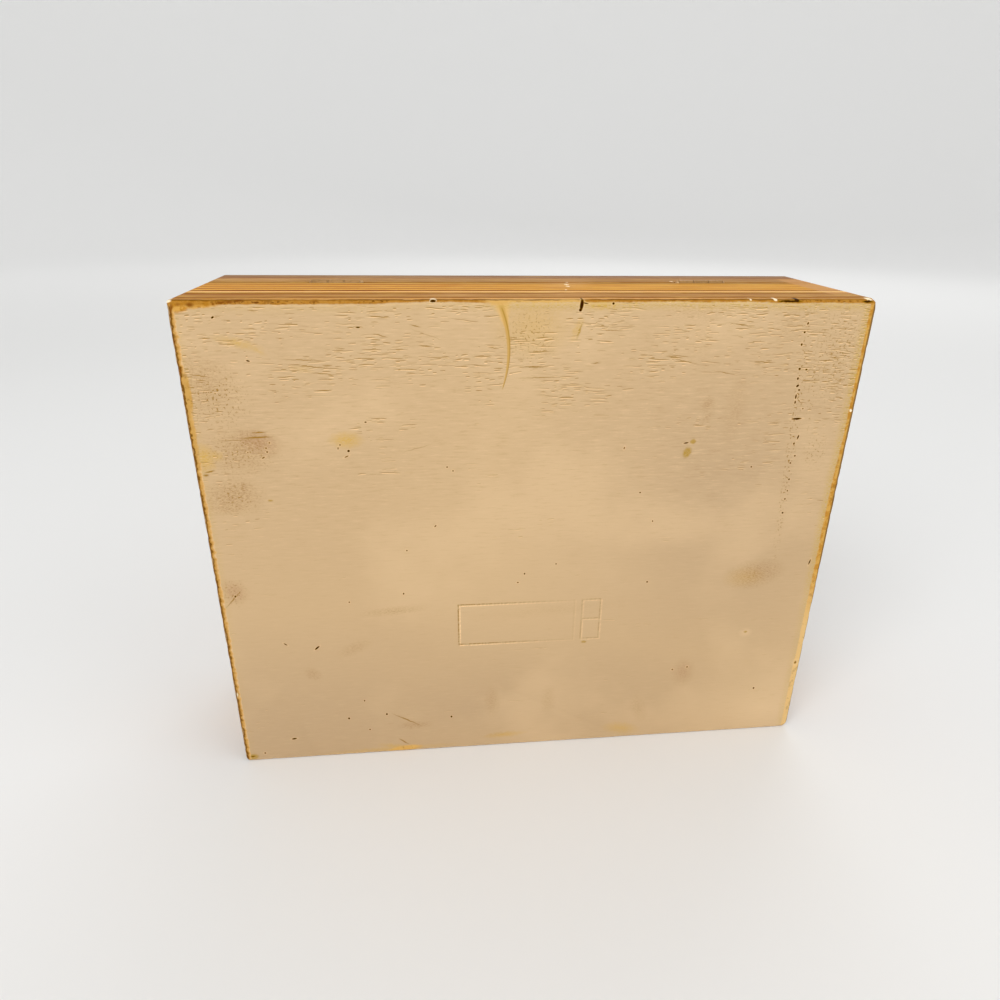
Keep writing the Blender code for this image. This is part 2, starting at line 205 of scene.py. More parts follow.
def least(*values):
    return folded("MINIMUM", values)


def less(value, taken):
    return maths("SUBTRACT", value, taken)


def times_plus(value, factor, start):
    """value x factor + start."""
    return maths("MULTIPLY_ADD", value, factor, start)


def parts(vector):
    made = node(tree_of(vector), "ShaderNodeSeparateXYZ")
    wire(vector, made.inputs[0])
    return made.outputs


def joined(x, y, z=0):
    made = node(tree_of(x, y, z), "ShaderNodeCombineXYZ")
    for socket, value in zip(made.inputs, (x, y, z)):
        wire(value, socket)
    return made.outputs[0]


def cloud(vector, scale=1, detail=2, rough=0.5, flat=False, coloured=False):
    """Noise from 0 to 1. flat reads only X and Y."""
    made = node(tree_of(vector), "ShaderNodeTexNoise", noise_dimensions="2D" if flat else "3D")
    for name, value in (("Vector", vector), ("Scale", scale), ("Detail", detail), ("Roughness", rough)):
        wire(value, made.inputs[name])
    return made.outputs[1 if coloured else 0]


def stretched(vector, scales):
    return vectors("MULTIPLY", vector, scales)


def colour_bands(value, stops):
    """A ramp of (place from 0 to 1, colour) stops."""
    made = node(tree_of(value), "ShaderNodeValToRGB")
    ramp = made.color_ramp
    while len(ramp.elements) < len(stops):
        ramp.elements.new(0.5)
    for element, (place, colour) in zip(ramp.elements, stops):
        element.position = place
        element.color = linear(colour)
    wire(value, made.inputs[0])
    return made.outputs[0]


def group(name, inputs, outputs):
    """An empty node group with (name, kind, value) inputs and (name, kind) outputs."""
    tree = bpy.data.node_groups.new(name, "ShaderNodeTree")
    for label, kind, value in inputs:
        socket = tree.interface.new_socket(label, in_out="INPUT", socket_type="NodeSocket" + kind)
        if value is not None:
            socket.default_value = value
    for label, kind in outputs:
        tree.interface.new_socket(label, in_out="OUTPUT", socket_type="NodeSocket" + kind)
    return tree, node(tree, "NodeGroupInput").outputs, node(tree, "NodeGroupOutput").inputs


def placed(shared, **values):
    """Puts a shared group in a material. Input names are written with underscores for spaces."""
    made = node(tree_of(*values.values()), "ShaderNodeGroup", node_tree=shared)
    for name, value in values.items():
        wire(value, made.inputs[name.replace("_", " ").title()])
    return made.outputs


# Shared effects


def make_base_place():
    """Where a point lies on the base, in millimetres: from its left edge and down from its top edge."""
    inputs = [("Position", "Vector", None)]
    outputs = [("Place", "Vector")] + [(edge, "Float") for edge in ("Left", "Top", "Right", "Foot")]
    tree, given, result = group("base_place", inputs, outputs)
    x, _, z = parts(given["Position"])
    left = times_plus(x, MM, LENGTH_MM / 2)
    top = times_plus(z, -MM, WIDTH_MM)
    wire(joined(left, top), result["Place"])
    wire(left, result["Left"])
    wire(top, result["Top"])
    wire(less(LENGTH_MM, left), result["Right"])
    wire(less(WIDTH_MM, top), result["Foot"])
    return tree


def make_spot():
    """How far a point is from an oval mark's centre, where 1 is the mark's rim."""
    inputs = [("Place", "Vector", None), ("Centre", "Vector", None), ("Half Size", "Vector", (1, 1, 1))]
    tree, given, result = group("spot", inputs, [("Reach", "Float")])
    offset = vectors("SUBTRACT", given["Place"], given["Centre"])
    wire(vectors("LENGTH", vectors("DIVIDE", offset, given["Half Size"])), result["Reach"])
    return tree


def make_run():
    """A thin run of varnish or a scratch: a line from start to end that bows to one side and thins out."""
    inputs = [
        ("Place", "Vector", None),
        ("Start", "Vector", None),
        ("End", "Vector", None),
        ("Bow", "Float", 0),
        ("Width", "Float", 1),
        ("Taper", "Float", 0.5),
    ]
    tree, given, result = group("run", inputs, [("Mask", "Float")])
    line = vectors("SUBTRACT", given["End"], given["Start"])
    offset = vectors("SUBTRACT", given["Place"], given["Start"])
    length = vectors("LENGTH", line)
    squared = product(length, length)
    share = maths("DIVIDE", vectors("DOT_PRODUCT", offset, line), squared)
    inside = product(fade(share, -0.03, 0.02), fade(share, 1.03, 0.96))
    cross = parts(vectors("CROSS_PRODUCT", line, offset))[2]
    arch = product(share, less(1, share), 4, given["Bow"])
    off = maths("ABSOLUTE", less(maths("DIVIDE", cross, length), arch))
    thin = less(1, product(share, given["Taper"]))
    width = maths("MAXIMUM", product(thin, given["Width"]), 0.05)
    mask = fade(maths("DIVIDE", off, width), 1, 0.3)
    wire(product(mask, inside), result["Mask"])
    return tree


def make_cracks():
    """Short cracks along the grain, at most one in a cell of a loose grid, and a painted highlight just under
    each, as on a lifted lip.
    """
    inputs = [
        ("Place", "Vector", None),
        ("Cell", "Vector", (8, 1.6, 1)),
        ("Width", "Float", 0.14),
        ("Highlight Drop", "Float", 0.4),
        ("Cover", "Float", 0.4),
    ]
    tree, given, result = group("cracks", inputs, [("Mask", "Float"), ("Lip Highlight", "Float")])
    scaled = vectors("DIVIDE", given["Place"], given["Cell"])
    cells = node(tree, "ShaderNodeTexVoronoi", voronoi_dimensions="2D")
    cells.inputs["Scale"].default_value = 1
    wire(scaled, cells.inputs["Vector"])
    offset = vectors("SUBTRACT", scaled, cells.outputs["Position"])
    along, down, _ = parts(vectors("MULTIPLY", offset, given["Cell"]))
    luck, length, tilt = parts(cells.outputs["Color"])
    slope = times_plus(length, 0.16, -0.1)
    down = less(down, product(along, slope))
    reach = product(parts(given["Cell"])[0], times_plus(length, 0.42, 0.08))
    share = maths("DIVIDE", along, reach)
    slim = maths("MAXIMUM", less(1, product(share, share)), 0)
    shown = fade(maths("ADD", luck, given["Cover"]), 0.96, 1.3)
    shown = product(shown, fade(slim, 0, 0.4), times_plus(tilt, 0.6, 0.4))
    width = product(given["Width"], times_plus(slim, 0.7, 0.3))
    # The crack itself, then a painted highlight a little below it
    for label, drop in (("Mask", 0), ("Lip Highlight", given["Highlight Drop"])):
        off = maths("ABSOLUTE", less(down, drop))
        line = fade(maths("DIVIDE", off, width), 1.3, 0.5)
        wire(product(line, shown), result[label])
    return tree


def make_plank():
    """Sawn softwood, its grain along X: growth rings about a pith off the board, fibres and pores."""
    inputs = [
        ("Position", "Vector", None),
        ("Pith", "Vector", (0, -0.3, 0.1)),
        ("Ring Pitch", "Float", 0.006),
        ("Wander", "Float", 0.006),
    ]
    outputs = [(mask, "Float") for mask in ("Late", "Early", "Fibre", "Pore", "Cloud")]
    tree, given, result = group("plank", inputs, outputs)
    slow = cloud(stretched(given["Position"], (5, 16, 16)), detail=2)
    drift = product(less(slow, 0.5), given["Wander"])
    from_pith = stretched(vectors("SUBTRACT", given["Position"], given["Pith"]), (0.02, 1, 1))
    radius = maths("ADD", vectors("LENGTH", from_pith), drift)
    turn = product(maths("DIVIDE", radius, given["Ring Pitch"]), 2 * math.pi)
    wave = maths("COSINE", turn)
    wire(fade(wave, 0, 0.7), result["Late"])
    wire(fade(wave, 0, -0.8), result["Early"])
    fibres = cloud(stretched(given["Position"], (40, 1500, 1500)), detail=3, rough=0.6)
    wire(fibres, result["Fibre"])
    pores = cloud(stretched(given["Position"], (220, 5200, 5200)), detail=1)
    wire(fade(pores, 0.66, 0.76), result["Pore"])
    wire(cloud(stretched(given["Position"], (9, 70, 70)), detail=3), result["Cloud"])
    return tree


BASE_PLACE = make_base_place()
SPOT = make_spot()
RUN = make_run()
CRACKS = make_cracks()
PLANK = make_plank()


# Marks on the base, in millimetres: from left, from top, half width, half height, turn in degrees, strength
HANDLED_SPOTS = (
    (24, 50, 5.4, 3.4, 14, 0.55),
    (195, 162.5, 3.6, 5, 0, 0.35),
    (6.7, 111.6, 3.4, 4.1, -40, 0.5),
)
GRIMY_PATCHES = (
    (16.2, 68, 2, 2.6, 0, 0.75),
    (12, 71, 7.5, 5, -8, 0.6),
    (17, 53.5, 8, 6, 0, 0.5),
    (10, 76, 7, 1.6, -4, 0.5),
    (8.5, 28.6, 7.4, 7.8, 10, 0.4),
    (4.2, 24, 3.3, 4.9, 0, 0.4),
    (220.5, 113.4, 8.5, 4.4, -10, 0.75),
    (190.4, 38.6, 1.8, 2.4, 20, 0.5),
    (191, 43.5, 2.2, 1, -40, 0.4),
    (108.9, 172.6, 2.2, 5.6, 0, 0.35),
    (176, 181.5, 2.4, 5.2, -20, 0.3),
    (134, 173.9, 2.3, 5.1, 0, 0.25),
    (33.1, 152.9, 2, 2.6, -50, 0.45),
    (51.4, 140.9, 5.3, 2, -25, 0.35),
    (68, 123.7, 8.9, 1.4, -4, 0.45),
    (74.5, 183.4, 4.9, 1.4, 0, 0.5),
    (112.6, 191.6, 4.6, 0.9, -5, 0.4),
    (184.3, 14.4, 3.8, 8, 0, 0.2),
    (201.5, 41, 3.2, 9.6, 5, 0.25),
    (183, 4.4, 9.7, 2.5, 0, 0.3),
    (217.7, 9.1, 4.6, 6.6, 0, 0.25),
    (133.2, 126.7, 26, 2, -3, 0.12),
)
# Painted shade: broad darker patches of the cream, laid on as the marks are
PAINTED_SHADE_PATCHES = (
    (205, 80, 56, 56, 0, 0.95),
    (24, 50, 60, 90, 0, 0.35),
    (100, 176, 110, 30, 0, 0.8),
)
YELLOW_WASHES = (
    (55, 49.8, 4.4, 2.4, 0, 0.9),
    (4.3, 55.8, 2.8, 4.2, 0, 0.9),
    (7.9, 54.8, 2.4, 1.5, 20, 0.7),
    (123, 8.5, 10.5, 8.5, 0, 0.38),
    (138.6, 10.2, 1.1, 3.5, 20, 0.55),
    (21.5, 14.4, 6, 1.3, 14, 0.6),
    (27.5, 16.8, 2.6, 0.8, 30, 0.45),
    (216.7, 114.7, 6.3, 3.5, 0, 0.25),
    (168.4, 192.4, 6.2, 2.4, 10, 0.6),
    (41.2, 23.4, 3.4, 1.1, 8, 0.25),
    (67, 195.4, 6.5, 1.2, 14, 0.7),
    (62, 196.2, 22, 1, -1, 0.5),
    (114.4, 191.9, 7, 1.1, -3, 0.65),
    (146.6, 1.6, 4.8, 1.5, 3, 0.95),
)
# Pale patches: the two broad ones are painted light, in the middle and at the bottom right corner; the small
# one lies round an olive spot
PALE_MARKS_AND_PAINTED_LIGHT = (
    (130, 98, 44, 36, 0, 0.3),
    (236, 186, 30, 16, 0, 0.9),
    (221.2, 142.9, 2, 1.5, 0, 0.8),
)
OLIVE_SPOTS = (
    (184.5, 57.7, 1.6, 2.2, 25, 0.9),
    (186.4, 53.3, 1.2, 1, -15, 0.85),
    (148.5, 143.5, 1.2, 0.6, 10, 0.7),
    (221.2, 142.6, 0.9, 0.55, 0, 0.7),
    (25.3, 73, 1, 0.45, 0, 0.7),
    (3.2, 195.6, 2.4, 1.5, -5, 1),
    (139.6, 10.8, 0.5, 3, 18, 0.55),
)
SPECKS = (
    (183.7, 53.8, 0.9, 0.25, -8, 0.9),
    (14.4, 5.7, 0.5, 0.3, -30, 0.85),
    (55.5, 54, 0.45, 0.4, -20, 0.95),
    (52.6, 51.6, 0.3, 0.25, 0, 0.7),
    (62.4, 43.1, 0.4, 0.25, 0, 0.7),
    (86.4, 85.8, 0.55, 0.25, -50, 0.6),
    (74.9, 96.1, 0.3, 0.3, 0, 0.6),
    (167.3, 74.1, 0.3, 0.3, 0, 0.85),
    (173.6, 86.8, 0.25, 0.4, 0, 0.6),
    (134.9, 104.7, 0.3, 0.3, 0, 0.7),
    (122, 108.7, 0.3, 0.4, 0, 0.75),
    (174, 115, 0.4, 0.35, 0, 0.75),
    (119.3, 112.7, 0.4, 0.3, 0, 0.5),
    (211.6, 64.4, 0.35, 0.3, 0, 0.7),
    (159.4, 55.3, 0.25, 0.5, 10, 0.5),
    (226.8, 44.9, 1.8, 0.35, -3, 0.9),
    (244.4, 108.6, 0.3, 1.2, 12, 0.75),
    (72.7, 115.7, 0.3, 0.4, 0, 0.7),
    (50.8, 118.6, 0.3, 0.35, 0, 0.55),
    (36.1, 139.9, 1.2, 0.35, -42, 0.9),
    (23.6, 137.4, 0.8, 0.25, 38, 0.7),
    (53.5, 168.4, 0.3, 0.4, 0, 0.75),
    (46.2, 177.5, 0.4, 0.5, 0, 0.85),
    (62.6, 176.4, 0.4, 0.5, 0, 0.85),
    (54.8, 184.3, 0.3, 0.4, 0, 0.7),
    (90.8, 179.9, 0.4, 0.5, 0, 0.85),
    (21.9, 186.9, 1, 0.4, -8, 0.75),
    (8.6, 193.9, 0.4, 0.4, 0, 0.6),
    (189.9, 160.9, 0.4, 0.4, 0, 0.5),
    (196.6, 159.9, 0.4, 0.4, 0, 0.5),
    (229.9, 173.9, 0.4, 0.5, 0, 0.8),
    (6.9, 113.7, 0.35, 0.45, 0, 0.7),
    (91.5, 61.3, 0.3, 0.3, 0, 0.6),
    (93.7, 62.9, 0.3, 0.3, 0, 0.5),
    (24, 20.4, 0.6, 0.25, 15, 0.8),
    (62.1, 9.2, 0.7, 0.25, 0, 0.7),
    (151.2, 1.4, 0.4, 0.4, 0, 0.95),
    (141.3, 1.3, 0.9, 0.2, 10, 0.8),
    (247.6, 160.7, 0.6, 0.8, 0, 0.35),
    (139.9, 1.8, 0.6, 1.9, 7, 1),
    (139.5, 3.6, 0.5, 0.5, 0, 1),
    (223.8, 11.8, 0.4, 0.35, 0, 0.75),
    (223.5, 16.3, 0.35, 0.5, 0, 0.65),
    (224.4, 25.4, 0.45, 0.4, 0, 0.75),
    (224.4, 29.1, 0.35, 0.5, 0, 0.8),
    (224.8, 31.9, 0.6, 0.4, -40, 0.9),
    (225.7, 33.5, 0.45, 0.3, 0, 0.8),
    (224.9, 36.1, 0.3, 0.9, 0, 0.75),
    (224.5, 8.6, 0.35, 0.5, 20, 0.6),
    (227.1, 25.7, 0.45, 0.35, 0, 0.6),
    (225, 38.3, 0.3, 0.6, 0, 0.7),
    (228.6, 40.9, 0.3, 0.3, 0, 0.5),
    (227.1, 45.1, 0.4, 0.3, -30, 0.65),
    (228.8, 52.4, 0.3, 0.9, 12, 0.75),
    (227.6, 55.1, 0.35, 0.4, 0, 0.7),
    (228.9, 60.2, 0.4, 0.3, 0, 0.7),
    (227.6, 63.2, 0.35, 0.35, 0, 0.75),
    (228.3, 70.2, 0.35, 0.4, 0, 0.7),
    (228.5, 75.2, 0.3, 0.35, 0, 0.6),
    (228.1, 78.8, 0.35, 0.35, 0, 0.7),
    (228.2, 85, 0.4, 0.4, 0, 0.8),
    (26.2, 52.2, 0.3, 0.3, 0, 0.5),
    (26.4, 53.7, 0.3, 0.35, 0, 0.6),
    (24.8, 55.9, 0.6, 0.25, -25, 0.5),
    (19.6, 53.7, 0.25, 0.25, 0, 0.4),
    (27.6, 50.2, 0.3, 0.3, 0, 0.4),
    (51.8, 52.9, 0.2, 0.5, 5, 0.6),
    (54.6, 56.2, 0.8, 0.22, -25, 0.5),
)
# Broad patches where the paint is pricked all over with small dark dots
PRICKED_PATCHES = (
    (226.6, 50, 1.6, 46, -2, 1),
    (231, 34, 1.2, 14, -4, 0.7),
    (12, 33, 9, 9, 0, 0.75),
    (17, 54, 11, 7, 0, 0.6),
    (13, 71, 8, 6, 0, 0.6),
    (238, 20, 9, 16, 0, 0.6),
    (237, 58, 4, 6, 0, 0.6),
    (6.7, 112, 4, 5, 0, 0.6),
    (122, 12, 8, 8, 0, 0.5),
)
BORDER_PATCHES = (
    (1.9, 31.5, 1.4, 7, 0, 1),
    (1.8, 47, 0.9, 12, 0, 0.6),
    (2.6, 1.4, 3.4, 2.2, -12, 1),
    (10, 1.2, 9, 1.4, -4, 0.9),
    (110.5, 0.9, 4.5, 1, 0, 0.4),
    (69.6, 196.3, 6.5, 1.4, -6, 0.9),
    (4.5, 2.4, 3.6, 1.4, -14, 0.8),
)
DARK_PATCHES = (
    (3.2, 195.4, 1, 0.5, -5, 0.4),
    (216.3, 0.8, 4.2, 0.32, 1, 1),
    (218.9, 0.4, 1, 0.6, 0, 1),
    (246, 0.9, 2, 0.4, 4, 0.8),
    (88.1, 0.5, 0.9, 0.4, 0, 1),
)
RUST_SPOTS = (
    (7.7, 1.6, 1.2, 0.7, 0, 0.9),
    (4, 1.4, 0.8, 0.4, 0, 0.5),
    (1.6, 2.8, 0.5, 1.4, 15, 0.9),
    (1, 24, 0.6, 1.4, 10, 0.8),
    (0.9, 13.6, 0.4, 0.9, 10, 0.7),
    (15.2, 1.3, 0.5, 0.35, 0, 0.8),
    (17.8, 0.9, 1.6, 0.4, -6, 1),
    (20.4, 0.7, 1.4, 0.4, 5, 0.9),
    (23.4, 0.4, 1.6, 0.35, -4, 0.9),
    (29.2, 0.8, 0.8, 0.35, 0, 0.9),
    (48.2, 0.6, 1.2, 0.3, 0, 0.6),
)
# White chips and filler at the edges; the two at the top corners are painted glints on the chipped corners
WHITE_CHIPS_AND_GLINTS = (
    (88.1, 0.45, 1.15, 0.55, 0, 0.85),
    (247.2, 0.25, 1.2, 0.4, 3, 0.9),
    (248.4, 42, 0.45, 0.6, 0, 1),
    (210.9, 0.35, 0.6, 0.4, 20, 0.9),
    (201.6, 0.3, 0.4, 0.25, 0, 0.6),
    (1.1, 161.5, 0.3, 1.3, 0, 0.45),
    (0.7, 0.5, 1.2, 0.5, -10, 0.6),
)
SCRATCHES = (
    (6, 115, 4.2, 0.25, -48, 0.8),
    (71.2, 180.1, 5.6, 0.3, 32, 0.8),
    (5.3, 60.8, 1.6, 0.3, -12, 1),
    (3.7, 62.3, 1, 0.4, -5, 1),
    (86, 12, 5, 0.16, 20, 0.35),
    (80.4, 53.6, 4.5, 0.16, -15, 0.4),
    (23.5, 48.1, 4.6, 0.3, -2, 1),
    (24.5, 46.2, 2.2, 0.25, -3, 0.9),
    (15.5, 49, 6, 0.16, -1, 0.6),
    (69.3, 192.2, 2.3, 0.3, 40, 0.9),
    (42.7, 20.3, 6.3, 0.16, 2, 0.7),
    (45.5, 22.7, 4.2, 0.18, 5, 0.8),
    (49, 25.2, 4, 0.18, 6, 0.8),
    (62.3, 9.1, 1.3, 0.2, 4, 1),
    (69.6, 12, 1.9, 0.18, 16, 0.8),
    (81.6, 8.8, 1.7, 0.18, 12, 0.8),
    (7, 25.4, 3, 0.16, 8, 0.8),
    (108.9, 16.6, 1.6, 0.18, 5, 0.8),
    (85, 15.8, 1.9, 0.22, 6, 0.9),
    (123.4, 23.6, 4.2, 0.22, 0, 1),
    (125.8, 18.1, 3.8, 0.18, -1, 0.8),
    (125.9, 27.5, 7.3, 0.15, 0, 0.7),
    (146.3, 22.4, 1.5, 0.2, -2, 0.8),
    (175.2, 20.5, 2.7, 0.2, 8, 0.9),
    (179.2, 22, 5.2, 0.16, 13, 0.7),
    (195.7, 26.6, 4.2, 0.16, 11, 0.7),
    (199.6, 9.1, 4.1, 0.16, 10, 0.7),
    (210.6, 22.7, 3, 0.2, 4, 0.8),
    (227.6, 25.9, 3.8, 0.16, 1, 0.8),
    (151, 10.7, 4, 0.16, 2, 0.7),
)
DASHED_PATCHES = (
    (30, 0.8, 20, 0.5, 0, 0.7),
    (70, 0.5, 12, 0.3, 0, 0.8),
    (232, 0.7, 16, 0.4, 0, 0.7),
)
# Filler on the back wall: marks as above, but from the left and up from the base
WALL_FLECKS = (
    (141.9, 41.9, 0.7, 1.6, 0, 1),
    (143.5, 48.5, 0.6, 1.4, 0, 0.5),
    (141.2, 35.8, 0.5, 1.2, 0, 0.9),
    (138.8, 26.1, 0.5, 0.8, 0, 0.6),
    (136, 2.5, 0.8, 0.5, 0, 0.5),
    (188.4, 51.8, 0.7, 1, 0, 0.8),
    (210.4, 52.2, 0.6, 1, 0, 0.6),
)
WALL_SMEARS = (
    (142, 45, 7, 13, -20, 0.5),
    (139, 16, 9, 6, 0, 0.35),
    (96, 14, 8, 5, 0, 0.3),
    (20, 56, 12, 5, 0, 0.45),
)
# The pressed frame's boxes: middle from left and from top, half width and half height, in millimetres
PRESSED_BOXES = (
    (119.1, 132, 24.4, 9.7),
    (150.7, 126.9, 3.9, 4.7),
    (150.7, 136.6, 3.9, 5),
)
# The panel's left edge: millimetres in from it, and colour; the pale stops inside the dark line are painted
# highlight
RIM_WIDTH = 2.4
LEFT_RIM_STOPS = tuple(
    (mm / RIM_WIDTH, tint)
    for mm, tint in (
        (0, (176, 146, 104)),
        (0.45, (170, 136, 92)),
        (0.6, (118, 78, 24)),
        (1.05, (124, 84, 30)),
        (1.25, (186, 136, 62)),
        (1.8, (206, 158, 88)),
        (2.4, (222, 184, 130)),
    )
)


# Materials


def new_material(name):
    made = bpy.data.materials.new(name)
    made.use_nodes = True
    tree = made.node_tree
    shader = tree.nodes["Principled BSDF"]
    position = node(tree, "ShaderNodeTexCoord").outputs["Object"]
    return made, shader, position


def bumped(shader, height, depth):
    """Feeds a height from 0 to 1, depth metres deep, to the shader's normal."""
    made = node(tree_of(height), "ShaderNodeBump")
    made.inputs["Strength"].default_value = 1
    made.inputs["Distance"].default_value = depth
    wire(height, made.inputs["Height"])
    wire(made.outputs[0], shader.inputs["Normal"])


def marks(place, table, softness, clamp=True):
    """Oval marks that fade out round their rims, each up to its own strength."""
    found = []
    for left, top, half_width, half_height, turn, strength in table:
        centre = (left, top, 0)
        spot = place
        if turn:
            turned = node(tree_of(place), "ShaderNodeVectorRotate", rotation_type="Z_AXIS")
            wire(place, turned.inputs["Vector"])
            turned.inputs["Center"].default_value = centre
            turned.inputs["Angle"].default_value = -math.radians(turn)
            spot = turned.outputs[0]
        reach = placed(SPOT, place=spot, centre=centre, half_size=(half_width, half_height, 1))["Reach"]
        slope = strength / (2 * softness)
        found.append(times_plus(reach, -slope, slope * (1 + softness)))
    return maths("ADD", strongest(*found), 0, clamp=clamp)


def painted_cracks(place, left, top):
    """Cracks in the paint: gathered along the top, finer and closer at both ends, and few in the middle."""
    ends = maths("MAXIMUM", fade(left, 215, 244, 0, 0.5), fade(left, 36, 6, 0, 0.5))
    ends = product(ends, fade(top, 100, 50, 0.2, 1))
    patches = cloud(stretched(place, (0.035, 0.07, 0)), detail=2, flat=True)
    patches = times_plus(patches, 2.4, -1.2)
    main = maths("ADD", fade(top, 62, 15, -0.12, 0.5), patches)
    main = product(main, fade(top, 110, 50, 0.3, 1))
    wave = cloud(stretched(place, (0.09, 0.25, 0)), detail=2, flat=True)
    moved = vectors("ADD", place, joined(0, product(wave, 1.4)))
    layers = []
    for cell, width, cover in (
        ((10, 1.3, 1), 0.13, main),
        ((4, 0.85, 1), 0.12, maths("ADD", product(main, 0.75), ends)),
    ):
        cover = maths("ADD", cover, 0, clamp=True)
        layers.append(placed(CRACKS, place=moved, cell=cell, width=width, cover=cover))
    mask = strongest(*(layer["Mask"] for layer in layers))
    return mask, strongest(*(layer["Lip Highlight"] for layer in layers))


def make_pressed_frame():
    """A blank frame pressed into the paint: outlines of one long box and of two small ones beside it."""
    tree, given, result = group("pressed_frame", [("Place", "Vector", None)], [("Mask", "Float")])
    left, top, _ = parts(given["Place"])
    outlines = []
    for middle_left, middle_top, half_width, half_height in PRESSED_BOXES:
        across = less(maths("ABSOLUTE", less(left, middle_left)), half_width)
        upright = less(maths("ABSOLUTE", less(top, middle_top)), half_height)
        outlines.append(maths("ABSOLUTE", maths("MAXIMUM", across, upright)))
    worn = strongest(fade(left, 98, 142, 1, 0.15), fade(left, 145, 146, 0, 0.45))
    uneven = cloud(stretched(given["Place"], (0.8, 0.8, 0)), detail=3, rough=0.7, flat=True)
    worn = product(worn, fade(uneven, 0.35, 0.6, 0.3, 1))
    wire(product(fade(least(*outlines), 0.42, 0.18), worn), result["Mask"])
    return tree


def base_point(position):
    """Where a point lies on the panel, in millimetres, and the unevenness that the marks on it share."""
    spot = placed(BASE_PLACE, position=position)
    at = SimpleNamespace(**{name.lower(): spot[name] for name in ("Place", "Left", "Top", "Right", "Foot")})
    at.position = position
    at.height = product(less(parts(position)[1], BASE_Y), MM)
    ragged = cloud(at.place, scale=0.55, detail=3, flat=True, coloured=True)
    at.ragged = vectors("SUBTRACT", ragged, (0.5, 0.5, 0.5))
    at.far = vectors("ADD", at.place, stretched(at.ragged, (2.4, 1.6, 0)))
    at.near = vectors("ADD", at.place, stretched(at.ragged, (0.8, 0.6, 0)))
    at.fibre = cloud(stretched(at.place, (0.13, 1.3, 0)), detail=4, rough=0.75, flat=True)
    at.weave = cloud(stretched(at.place, (0.9, 3, 0)), detail=3, rough=0.7, flat=True)
    at.ripple = cloud(at.place, scale=0.4, detail=3, rough=0.6, flat=True)
    at.jitter = times_plus(at.ripple, 1.2, -0.6)
    return at


def cream_paint(at):
    """The cream's broad tones with painted shade and light, and the grain that shows through its upper half.
    """
    # Painted shade: the cream darkens towards the bottom and the left, and in the broad shade patches
    low = product(fade(at.top, 90, 190), fade(at.left, 190, 20, 0.25, 0.9))
    painted_shade = strongest(low, marks(at.place, PAINTED_SHADE_PATCHES, 0.9))
    colour = blend(painted_shade, CREAM, CREAM_PAINTED_SHADE)
    tone = cloud(at.place, scale=0.018, detail=3, flat=True)
    colour = blend(fade(tone, 0.45, 0.75, 0, 0.5), colour, CREAM_PALE_AND_LIT)
    colour = blend(marks(at.place, PALE_MARKS_AND_PAINTED_LIGHT, 0.8), colour, CREAM_PALE_AND_LIT)
    grainy = fade(at.top, 120, 50, 0.3, 1)
    dark_fibre = product(fade(at.fibre, 0.52, 0.8, 0, 0.3), grainy)
    colour = blend(dark_fibre, colour, SMUDGE_BROWN)
    pale_fibre = product(fade(at.fibre, 0.48, 0.25, 0, 0.6), grainy)
    return blend(pale_fibre, colour, CREAM_PALE_AND_LIT)


def stained(at, colour):
    """Grime, handling marks, yellow washes, olive spots and dark pricks. Also gives the washes' mask."""
    grime = product(marks(at.far, GRIMY_PATCHES, 0.75), fade(at.weave, 0.42, 0.64, 0.12, 1))
    colour = blend(grime, colour, SMUDGE_BROWN)
    dots = cloud(at.place, scale=1.3, detail=2, flat=True)
    smudged = times_plus(dots, 0.3, product(at.weave, 0.7))
    handled = product(marks(at.far, HANDLED_SPOTS, 0.7), fade(smudged, 0.4, 0.64, 0.3, 0.8))
    colour = blend(handled, colour, SMUDGE_RED)
    wash = product(marks(at.far, YELLOW_WASHES, 0.6), fade(at.weave, 0.4, 0.6, 0.5, 1))
    colour = blend(wash, colour, WASH_YELLOW)
    olive = product(marks(at.near, OLIVE_SPOTS, 0.25), fade(at.weave, 0.35, 0.6, 0.6, 0.95))
    colour = blend(olive, colour, OLIVE)
    pricks = fade(cloud(at.place, scale=1.1, detail=2, flat=True), 0.6, 0.7)
    pricks = product(pricks, marks(at.near, PRICKED_PATCHES, 0.5), 0.9)
    return blend(pricks, colour, CRACK_BROWN), wash


def cracked(at, colour):
    """Cracks with a painted highlight under each, the pressed frame with its own, and scratches. Also gives
    the mask of what is sunk.
    """
    cracks, lip_highlights = painted_cracks(at.place, at.left, at.top)
    framing = make_pressed_frame()
    pressed = placed(framing, place=at.place)["Mask"]
    pressed_lip_highlight = placed(framing, place=vectors("SUBTRACT", at.place, (0.65, 0.65, 0)))["Mask"]
    lip_highlights = product(strongest(lip_highlights, product(pressed_lip_highlight, 0.9)), 0.9)
    # Painted highlight just below the cracks and the pressed frame
    colour = blend(lip_highlights, colour, HIGHLIGHT_AND_RING_CREAM)
    scratches = marks(at.near, SCRATCHES, 0.5)
    shares = ((cracks, 0.9), (pressed, 0.7), (scratches, 0.85))
    lines = strongest(*(product(mask, share) for mask, share in shares))
    return blend(lines, colour, CRACK_BROWN), strongest(cracks, pressed)


def varnish_runs(at, colour):
    """A wedge of thin varnish and a bowed run below the top edge. Also gives the run's mask."""
    wedge = {"start": (111, -3, 0), "end": (113.9, 12, 0), "width": 5.5, "taper": 1}
    wedge = placed(RUN, place=at.near, **wedge)["Mask"]
    colour = blend(product(wedge, 0.75), colour, WASH_GOLD)
    run = {"start": (110.9, 0.5, 0), "end": (112.2, 31.4, 0), "bow": -2.7, "width": 1.5, "taper": 0.85}
    run = placed(RUN, place=at.place, **run)["Mask"]
    colour = blend(product(run, 0.9), colour, RUN_GOLD)
    edge = {"start": (111.8, 3, 0), "end": (112.3, 31.4, 0), "bow": -2.7, "width": 0.4, "taper": 0.5}
    edge = placed(RUN, place=at.place, **edge)["Mask"]
    return blend(product(edge, 0.75), colour, RUN_OLIVE), run


